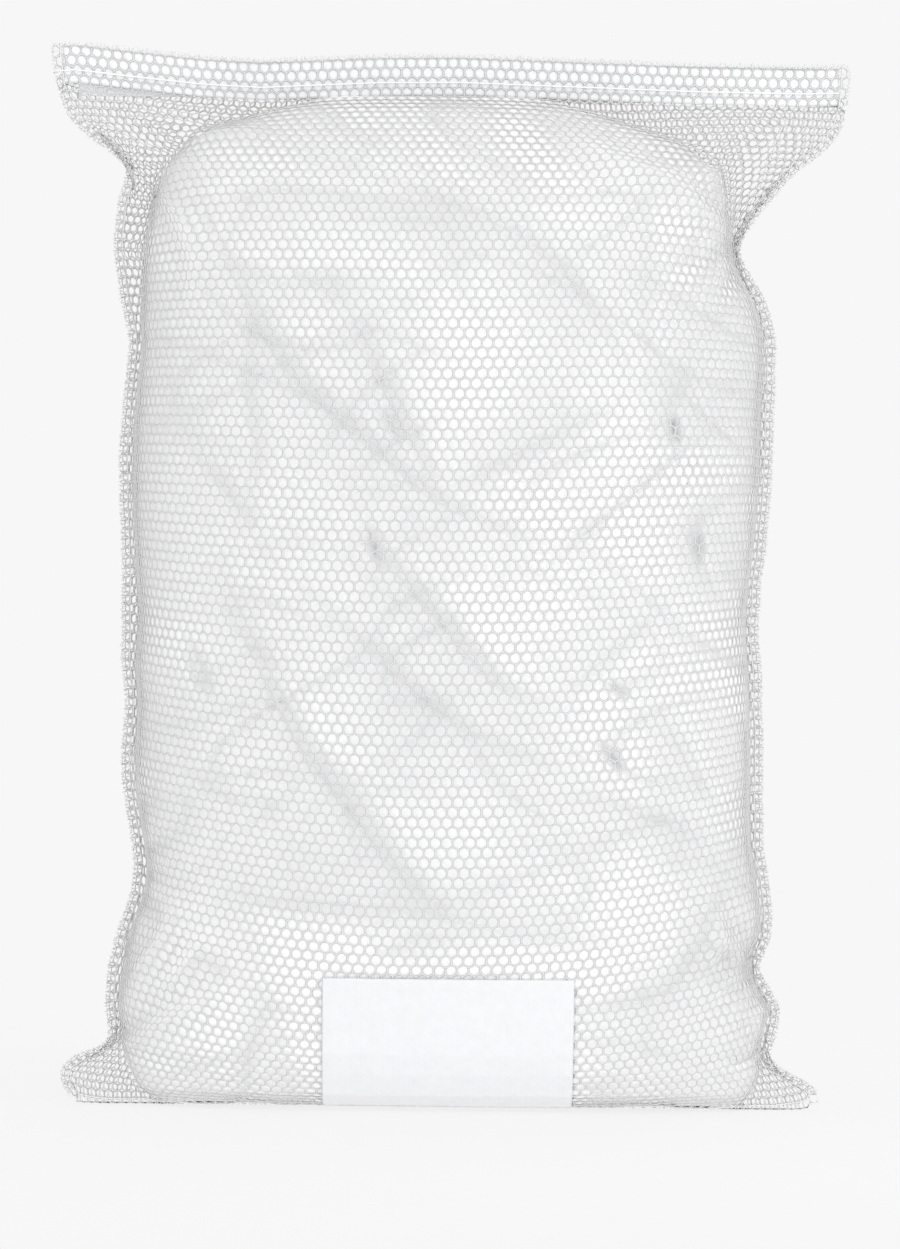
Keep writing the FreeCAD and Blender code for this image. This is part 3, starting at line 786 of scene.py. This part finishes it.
def label_place(cloth, across, down):
    """The flat place on the panel under a point of the label, from the label's top left corner."""
    straight = LABEL_TOP - LABEL_END
    u, v = cloth.under(LABEL_LEFT + across, LABEL_TOP - np.minimum(down, straight))
    return u, v + np.maximum(down - straight, 0)


def label_lift(across, down):
    """How far the label's face stands off the net's middle plane, with its hems and the net's print."""
    inset = np.minimum(np.minimum(across, LABEL_RIGHT - LABEL_LEFT - across), down)
    hem = 0.12 / (1 + np.exp((inset - LABEL_HEM) / 0.35))
    fold = 0.4 * np.exp(-np.maximum(inset, 0) / 1.2)
    print_through = 0.0
    for degrees in (0, 60, 120):
        direction = math.radians(degrees)
        place = across * math.cos(direction) + down * math.sin(direction)
        print_through = print_through + np.cos(2 * math.pi * place / (CELL_PITCH / 2))
    flat = STRAND_HALF_DEPTH + LABEL_GAP + LABEL_THICKNESS
    return flat + hem - fold - 0.03 * print_through


def sewn_row(cloth, start, end):
    """Dashed stitches through the label's hem between two points (across, down) of the label."""
    start, end = np.array(start, float), np.array(end, float)
    length = np.linalg.norm(end - start)
    starts = np.arange(0, 1 - 4 / length, LABEL_STITCH / length)
    steps = np.linspace(0, 1, 7)
    share = starts[:, None] + steps * 0.66 * LABEL_STITCH / length
    across, down = (start[axis] + (end[axis] - start[axis]) * share for axis in (0, 1))
    arch = 0.15 * np.sin(steps * math.pi) ** 0.5 - 0.1
    height = label_lift(across, down) + 0.1 + arch
    return tubes(cloth.at(*label_place(cloth, across, down), height), 0.11, 6)


def loose_thread(cloth):
    """The end of the sewing thread, left hanging at the label's top right corner."""
    steps = np.linspace(0, 1, 24)
    across = LABEL_RIGHT - LABEL_LEFT + 0.4 + 3.2 * steps + 0.9 * np.sin(steps * 7)
    down = 1 + 12 * steps + 1.2 * np.sin(steps * 9)
    place = label_place(cloth, across, down)
    return tubes(cloth.at(*place, 1.0 + 1.2 * np.sin(steps * 5))[None], 0.14, 5)


def label_pieces(cloth, fabric, thread, random):
    width = LABEL_RIGHT - LABEL_LEFT
    length = LABEL_TOP - LABEL_END + LABEL_TUCK
    across, down = np.meshgrid(np.linspace(0, width, 181), np.linspace(0, length, 101))
    place = label_place(cloth, across, down)
    lift = label_lift(across, down) + 0.1 * (1 + ripples(random, across, down, 22))
    face, back = cloth.at(*place, lift), cloth.at(*place, lift - LABEL_THICKNESS)
    face[..., 2] = np.maximum(face[..., 2], LABEL_CLEARANCE)
    back[..., 2] = np.maximum(back[..., 2], LABEL_CLEARANCE + 0.2)
    label = piece("name_label", *slab(face, back), fabric)
    inset = LABEL_HEM - 1.6
    rows = [sewn_row(cloth, (inset, inset), (width - inset, inset))]
    rows += [sewn_row(cloth, (side, inset), (side, length - 10)) for side in (inset, width - inset)]
    rows.append(loose_thread(cloth))
    piece("label_stitching", *joined(rows), thread)


# ---- the laundry -----------------------------------------------------------------------
# Each fold: its line of (x, z) points, how deep it is, and how wide its slope is.
# The cloth on the line's right-hand side passes under the cloth on its left, and painted shade darkens
# the lower cloth along the fold.
FOLDS = [
    ([(-113, 428), (-97, 392), (-79, 365), (-55, 343), (-27, 320), (-6, 302), (27, 287),
      (53, 280)], 6.5, 22),
    ([(88, 354), (63, 340), (35, 326), (14, 315), (-4, 305)], 5, 16),
    ([(-48, 393), (-36, 369), (-24, 343), (-6, 310)], 6, 13),
    ([(-43, 299), (-33, 277), (-15, 256), (7, 232), (25, 211), (42, 202), (60, 201)], 6, 20),
    ([(-74, 262), (-54, 243), (-32, 224), (-7, 201), (19, 184), (47, 173), (64, 170)], 5.5, 20),
    ([(-99, 242), (-87, 209), (-71, 181), (-49, 154), (-29, 127), (-8, 104), (6, 95)], 6.5, 22),
    ([(94, 83), (61, 86), (28, 91), (-11, 99), (-47, 103), (-92, 105), (-125, 109)], 4.5, 17),
    ([(-56, 472), (-25, 457), (5, 447), (34, 434), (58, 414), (76, 390), (92, 359)], 5, 18),
    ([(-117, 447), (-89, 456), (-56, 454), (-17, 450), (5, 447)], 4.5, 15),
    ([(112, 252), (93, 238), (75, 222), (54, 204)], 4.5, 14),
    ([(58, 51), (89, 53), (114, 62), (130, 85), (139, 115)], 5.5, 14),
    ([(55, 158), (86, 152), (113, 143), (139, 125)], 4, 13),
    ([(-129, 328), (-111, 309), (-94, 287)], 4.5, 12),
    ([(96, 479), (96, 436), (96, 392), (98, 350)], 2.6, 26),
    ([(105, 201), (117, 181), (135, 152)], 3.5, 9),
    ([(-109, 416), (-85, 408), (-56, 410), (-28, 404)], 3.5, 14),
    ([(-97, 397), (-100, 359), (-94, 324), (-100, 299)], 3.5, 12),
    ([(-133, 170), (-106, 154), (-78, 150)], 3.5, 12),
    ([(-31, 78), (-15, 89), (10, 87)], 2.5, 12),
    ([(121, 369), (111, 350), (112, 328)], 4, 8),
    ([(-134, 64), (-121, 76), (-105, 68)], 5, 10),
    ([(127, 299), (124, 275), (140, 250)], 3.5, 9),
]
# Deep gaps between the clothes, each darkened with painted shade: (x, z, half length, half width, lean
# from upright in degrees).
GAPS = [
    (-28, 339, 8, 2.6, 28), (-35, 278, 9, 2.6, 16), (82, 177, 8, 2.6, 40), (85, 210, 5, 2.2, 60),
    (112, 338, 6, 2.4, 15), (-122, 218, 13, 4, 20), (124, 281, 9, 3, 5),
]
CLOTHES_STEP = 1.8
FOLD_DEPTH = 1.7
TURNED_HEIGHT = 530.0         # the back's folds are the front's, turned half round at this height
SHARP_SIDE = 4.5              # how wide a fold's steep side is
GAP_DEPTH = 8.0
DARKER_GARMENT = 98.0         # a slightly darker garment lies to the right of this


def fold_relief(x, z, line, depth, width):
    """How far a fold's valley lies below the clothes round it, and the painted shade it lays on the lower
    cloth: a darkening of the colour beside the fold and a thin dark line along it.
    """
    dx, dz, right, share = beside(x, z, line)
    away = np.hypot(dx, dz)
    fade = np.sin(np.clip(share, 0.02, 0.98) * math.pi) ** 0.6
    slope = np.where(right > 0, width, SHARP_SIDE)
    valley = depth * fade * np.exp(-(away / slope) ** np.where(right > 0, 1.0, 1.4))
    soft_edge = np.clip(right / 2 + 0.5, 0, 1)
    # Painted shadow: the colour is darkened on the lower cloth beside the fold and in a thin line along
    # it.
    shadow = 0.06 * depth * soft_edge * np.exp(-away / (1.3 * width)) + 0.3 * np.exp(-(away / 2.4) ** 2)
    return valley, fade * shadow


def creases(random, x, z):
    """Sharp shallow creases all over, where slow slanting waves cross zero."""
    depth = 0.0
    for tilt in (38, -24):
        angle = math.radians(tilt)
        along = x * math.cos(angle) - z * math.sin(angle)
        across = x * math.sin(angle) + z * math.cos(angle)
        patchy = np.clip(0.4 + 0.6 * ripples(random, x, z, 130), 0, 1)
        depth = depth + patchy * np.exp(-np.abs(ripples(random, 0.4 * along, across, 50)) / 0.14)
    return depth


def beneath_label(x, z):
    """1 where the label presses the laundry smooth, falling to 0 a little outside it."""
    beyond = np.maximum(np.maximum(LABEL_LEFT - x, x - LABEL_RIGHT), z - LABEL_TOP)
    return np.clip(1 - beyond / 22, 0, 1)


def laundry_grid(sign, random):
    """One face of the laundry as a grid of points from the bottom up, and how far each point's colour is
    darkened: painted shade in its creases, folds and gaps, with the garments' own tone.
    """
    heights = np.append(np.arange(3.0, 506, CLOTHES_STEP), 508.0)
    share = np.sin(np.linspace(-1, 1, 201) * math.pi / 2)
    left, right, depth = load_section(heights)
    x = ((left + right) / 2)[:, None] + ((right - left) / 2)[:, None] * share
    z = heights[:, None] + 0 * x
    out = depth[:, None] * bulge(share, section_power(z))
    relief = 1.2 * np.maximum(0.7 + ripples(random, x + 0.6 * z, 0.45 * z, 45), 0)
    crumple = creases(random, x, z)
    relief += 3.0 * crumple
    # Painted shade along the creases, and a broad random tone of the clothes themselves.
    shade = 0.34 * crumple + 0.07 * (1 + ripples(random, x, z, 90))
    fold_x, fold_z = (x, z) if sign < 0 else (-x, TURNED_HEIGHT - z)
    for line, fold_depth, width in FOLDS:
        fold, shadow = fold_relief(fold_x, fold_z, line, fold_depth, width)
        relief += FOLD_DEPTH * fold
        shade += shadow
    if sign < 0:
        for gap_x, gap_z, length, width, lean in GAPS:
            angle = math.radians(lean)
            along = (x - gap_x) * -math.sin(angle) + (z - gap_z) * math.cos(angle)
            across = (x - gap_x) * math.cos(angle) + (z - gap_z) * math.sin(angle)
            hollow = np.exp(-((along / length) ** 2 + (across / width) ** 2) ** 1.5)
            relief += GAP_DEPTH * hollow
            # Painted shade: the colour is darkened in each gap.
            shade += 0.3 * hollow
        beyond = np.clip((x - DARKER_GARMENT) / 3 + 0.5, 0, 1)
        shade += 0.2 * beyond * np.clip((z - 250) / 90, 0.3, 1)
        relief *= 1 - 0.9 * beneath_label(x, z)
        shade *= 1 - 0.6 * beneath_label(x, z)
    else:
        out = np.minimum(out, np.interp(z, (502, 505), (12, 0.2)))
    relief = np.maximum(relief, 0) * np.clip(out / 25, 0, 1)
    points = np.stack([x, sign * (out - np.minimum(relief, out * 0.8)), z], axis=-1)
    return points, np.clip(shade, 0, 1)


def laundry_piece(random, material):
    (front, front_shade), (back, back_shade) = laundry_grid(-1, random), laundry_grid(1, random)
    back[:, 0], back[:, -1] = front[:, 0], front[:, -1]
    laundry = piece("laundry", *slab(front[::-1], back[::-1]), material, "laundry_load")
    # The painted shade and the garments' tone, kept on each point for the laundry's colour.
    shade = laundry.data.attributes.new("shade", "FLOAT", "POINT")
    shade.data.foreach_set("value", np.stack([front_shade[::-1], back_shade[::-1]]).ravel())


# ---- materials -------------------------------------------------------------------------
class Finish:
    """A procedural finish: a shader whose colour, roughness and bumps come from small patterns."""

    def __init__(self, slot, colour, roughness, sheen=0.0):
        self.material = bpy.data.materials.new(slot)
        self.material["slot"] = slot
        self.material.use_nodes = True
        self.tree = self.material.node_tree
        self.shader = self.tree.nodes["Principled BSDF"]
        self.set(self.shader, {"Roughness": roughness, "Sheen Weight": sheen, "Sheen Roughness": 0.5,
                               "Base Color": (*colour, 1)})
        self.colour = colour
        self.roughness = roughness
        self.where = self.node("ShaderNodeTexCoord").outputs["Object"]
        self.bump = None

    def node(self, kind, **values):
        node = self.tree.nodes.new(kind)
        for name, value in values.items():
            setattr(node, name, value)
        return node

    def set(self, node, values):
        for name, value in values.items():
            node.inputs[name].default_value = value

    def link(self, output, socket):
        self.tree.links.new(output, socket)

    def noise(self, scale, detail=3.0):
        noise = self.node("ShaderNodeTexNoise")
        self.set(noise, {"Scale": scale, "Detail": detail})
        self.link(self.where, noise.inputs["Vector"])
        return noise.outputs["Fac"]

    def threads(self, pitch, direction):
        """Fine parallel threads, this far apart in metres."""
        wave = self.node("ShaderNodeTexWave", bands_direction=direction)
        self.set(wave, {"Scale": math.pi / 10 / pitch, "Distortion": 0.6, "Detail Scale": 3.0})
        self.link(self.where, wave.inputs["Vector"])
        return wave.outputs["Fac"]

    def spread(self, value, low, high, low_in=0.3, high_in=0.7, kind="LINEAR"):
        """A value from low_in to high_in, mapped to low to high."""
        scale = self.node("ShaderNodeMapRange", interpolation_type=kind)
        self.set(scale, {"From Min": low_in, "From Max": high_in, "To Min": low, "To Max": high})
        self.link(value, scale.inputs["Value"])
        return scale.outputs["Result"]

    def tint(self, value, darker):
        """Colour that moves between the finish's own and a darker one."""
        mix = self.node("ShaderNodeMix", data_type="RGBA")
        self.link(value, mix.inputs["Factor"])
        self.set(mix, {"A": (*darker, 1), "B": (*self.colour, 1)})
        self.link(mix.outputs["Result"], self.shader.inputs["Base Color"])

    def wear(self, value, amount):
        low, high = self.roughness - amount, self.roughness + amount
        self.link(self.spread(value, low, high), self.shader.inputs["Roughness"])

    def relief(self, value, height):
        bump = self.node("ShaderNodeBump")
        self.set(bump, {"Distance": height})
        self.link(value, bump.inputs["Height"])
        if self.bump:
            self.link(self.bump, bump.inputs["Normal"])
        self.bump = bump.outputs["Normal"]
        self.link(self.bump, self.shader.inputs["Normal"])


def net_finish():
    finish = Finish("net", (0.625, 0.623, 0.622), 0.5, sheen=0.15)
    finish.tint(finish.spread(finish.noise(160), 0, 1), (0.59, 0.59, 0.588))
    finish.wear(finish.noise(900), 0.08)
    finish.relief(finish.noise(4200, 2.0), 0.00008)
    return finish.material


def laundry_finish():
    finish = Finish("laundry", (0.945, 0.947, 0.955), 0.85, sheen=0.25)
    # The shade attribute paints shade into the colour: towards this grey in creases, folds and gaps, and
    # in the darker garment.
    shade = finish.node("ShaderNodeAttribute", attribute_name="shade").outputs["Fac"]
    finish.tint(finish.spread(shade, 1, 0, 0, 1), (0.76, 0.765, 0.775))
    finish.wear(finish.noise(60), 0.06)
    finish.relief(finish.threads(0.0007, "X"), 0.00008)
    finish.relief(finish.threads(0.0007, "Z"), 0.00008)
    finish.relief(finish.noise(140, 4.0), 0.0004)
    return finish.material


def woven_finish(slot, colour, darker, pitch, sheen=0.2):
    finish = Finish(slot, colour, 0.7, sheen=sheen)
    finish.tint(finish.spread(finish.noise(220), 0, 1), darker)
    finish.wear(finish.noise(500), 0.07)
    finish.relief(finish.threads(pitch, "X"), 0.00009)
    finish.relief(finish.threads(pitch * 0.9, "Z"), 0.00009)
    return finish.material


def thread_finish(slot, colour, darker):
    finish = Finish(slot, colour, 0.6, sheen=0.2)
    finish.tint(finish.spread(finish.noise(500), 0, 1), darker)
    finish.wear(finish.noise(1500), 0.08)
    finish.relief(finish.noise(5000, 2.0), 0.00006)
    return finish.material


def nylon_finish():
    finish = Finish("zip_coil", (0.86, 0.87, 0.88), 0.32)
    finish.tint(finish.spread(finish.noise(300), 0, 1), (0.8, 0.81, 0.82))
    finish.wear(finish.noise(900), 0.08)
    finish.relief(finish.noise(2500), 0.00003)
    return finish.material


def enamel_finish():
    """White enamel paint, a little dulled and rubbed on a slider's corners and faces."""
    finish = Finish("white_enamel", (0.86, 0.865, 0.87), 0.32)
    finish.set(finish.shader, {"Coat Weight": 0.3})
    finish.tint(finish.spread(finish.noise(900, 5.0), 0, 1, 0.3, 0.45), (0.72, 0.725, 0.73))
    finish.wear(finish.noise(1200, 5.0), 0.12)
    finish.relief(finish.noise(3000), 0.00003)
    return finish.material


# ---- studio ----------------------------------------------------------------------------
BACKGROUND = 0.93
FLOOR_GLOW = 0.735


def pale_floor():
    """A round pale floor whose rim fades into the room. Light from below passes through it, as it
    would be thrown back up by a large white table."""
    mesh = bpy.data.meshes.new("floor")
    mesh.from_pydata([(-2, -2, 0), (2, -2, 0), (2, 2, 0), (-2, 2, 0)], [], [(0, 1, 2, 3)])
    floor = bpy.data.objects.new("floor", mesh)
    paper = Finish("pale_paper", (0.18, 0.18, 0.18), 1.0)
    paper.set(paper.shader, {"Specular IOR Level": 0.0, "Emission Color": (1, 1, 1, 1),
                             "Emission Strength": FLOOR_GLOW})
    far = paper.node("ShaderNodeVectorMath", operation="LENGTH")
    paper.link(paper.where, far.inputs[0])
    seen = paper.node("ShaderNodeLightPath").outputs["Is Camera Ray"]
    shown = paper.node("ShaderNodeMath", operation="MULTIPLY")
    paper.link(paper.spread(far.outputs["Value"], 1.0, 0.0, 0.3, 1.0, "SMOOTHSTEP"), shown.inputs[0])
    paper.link(seen, shown.inputs[1])
    paper.link(shown.outputs["Value"], paper.shader.inputs["Alpha"])
    mesh.materials.append(paper.material)
    bpy.context.scene.collection.objects.link(floor)


def lamp(name, energy, size, place, aim=(0, 0, 0.25)):
    light = bpy.data.lights.new(name, "AREA")
    light.energy = energy
    light.size = size
    obj = bpy.data.objects.new(name, light)
    away = np.array(place) - np.array(aim)
    obj.location = place
    flat = math.hypot(away[0], away[1])
    obj.rotation_euler = (math.atan2(flat, away[2]), 0, math.atan2(away[0], -away[1]))
    bpy.context.scene.collection.objects.link(obj)


def studio():
    scene = bpy.context.scene
    scene.view_settings.view_transform = "Standard"
    world = bpy.data.worlds.new("soft_white_room")
    scene.world = world
    world.use_nodes = True
    world.node_tree.nodes["Background"].inputs["Color"].default_value = (*[BACKGROUND] * 3, 1)
    pale_floor()
    lamp("key", 13, 1.2, (1.4, -1.7, 1.3))
    lamp("fill", 40, 3.0, (-0.4, -3.8, 0.5))
    lamp("bounce", 12, 2.0, (0.0, -2.2, -1.5))
    lamp("rear", 38, 2.5, (0.8, 3.4, 0.9))

    camera = bpy.data.cameras.new("camera")
    view = bpy.data.objects.new("camera", camera)
    scene.collection.objects.link(view)
    distance = 3.4
    frame_height = 0.6245
    camera.sensor_fit = "VERTICAL"
    camera.angle_y = 2 * math.atan(frame_height / 2 / distance)
    elevation = math.radians(0.0)
    roll = math.radians(-0.57)
    target = np.array([0.0023, 0.0, 0.2412])
    view.location = target + distance * np.array([0, -math.cos(elevation), math.sin(elevation)])
    view.rotation_euler = (math.pi / 2 - elevation, roll, 0)
    scene.camera = view


def main():
    studio()
    random = np.random.default_rng(5)
    thread = thread_finish("sewing_thread", (0.95, 0.955, 0.96), (0.91, 0.915, 0.92))
    edging = thread_finish("overlock_thread", (0.76, 0.765, 0.765), (0.66, 0.67, 0.67))
    net = net_finish()
    shape = with_fins(relaxed_panels(len(ROUNDS)))
    cloths = [Cloth(shape[side], side) for side in (0, 1)]
    front, back = cloths
    net_piece("front_net", front, 0.0, net)
    net_piece("back_net", back, BACK_NET_START, net)
    laundry_piece(random, laundry_finish())
    side_seam_piece("side_seam_left", cloths, -1, random, edging)
    side_seam_piece("side_seam_right", cloths, 1, random, edging)
    bottom_seam_piece(cloths, random, edging)
    top_overlock_piece(front, random, edging)

    mouth_pieces(woven_finish("mouth_tape", (0.89, 0.9, 0.915), (0.86, 0.87, 0.885), 0.0005), thread)
    zip_pieces(woven_finish("zip_tape", (0.87, 0.88, 0.9), (0.83, 0.84, 0.86), 0.0005),
               nylon_finish(), thread)
    enamel = enamel_finish()
    for name in ("zip_slider", "pull_tab", "zip_closed_end_stop", "zip_open_end_stop"):
        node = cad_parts[name]
        node.data.materials.clear()
        node.data.materials.append(enamel)
    cotton = woven_finish("label", (0.81, 0.815, 0.835), (0.785, 0.79, 0.81), 0.00045, 0.1)
    hem_thread = thread_finish("sewing_thread", (0.82, 0.825, 0.845), (0.79, 0.795, 0.815))
    hem_thread.name = "hem_thread"
    label_pieces(front, cotton, hem_thread, random)


main()
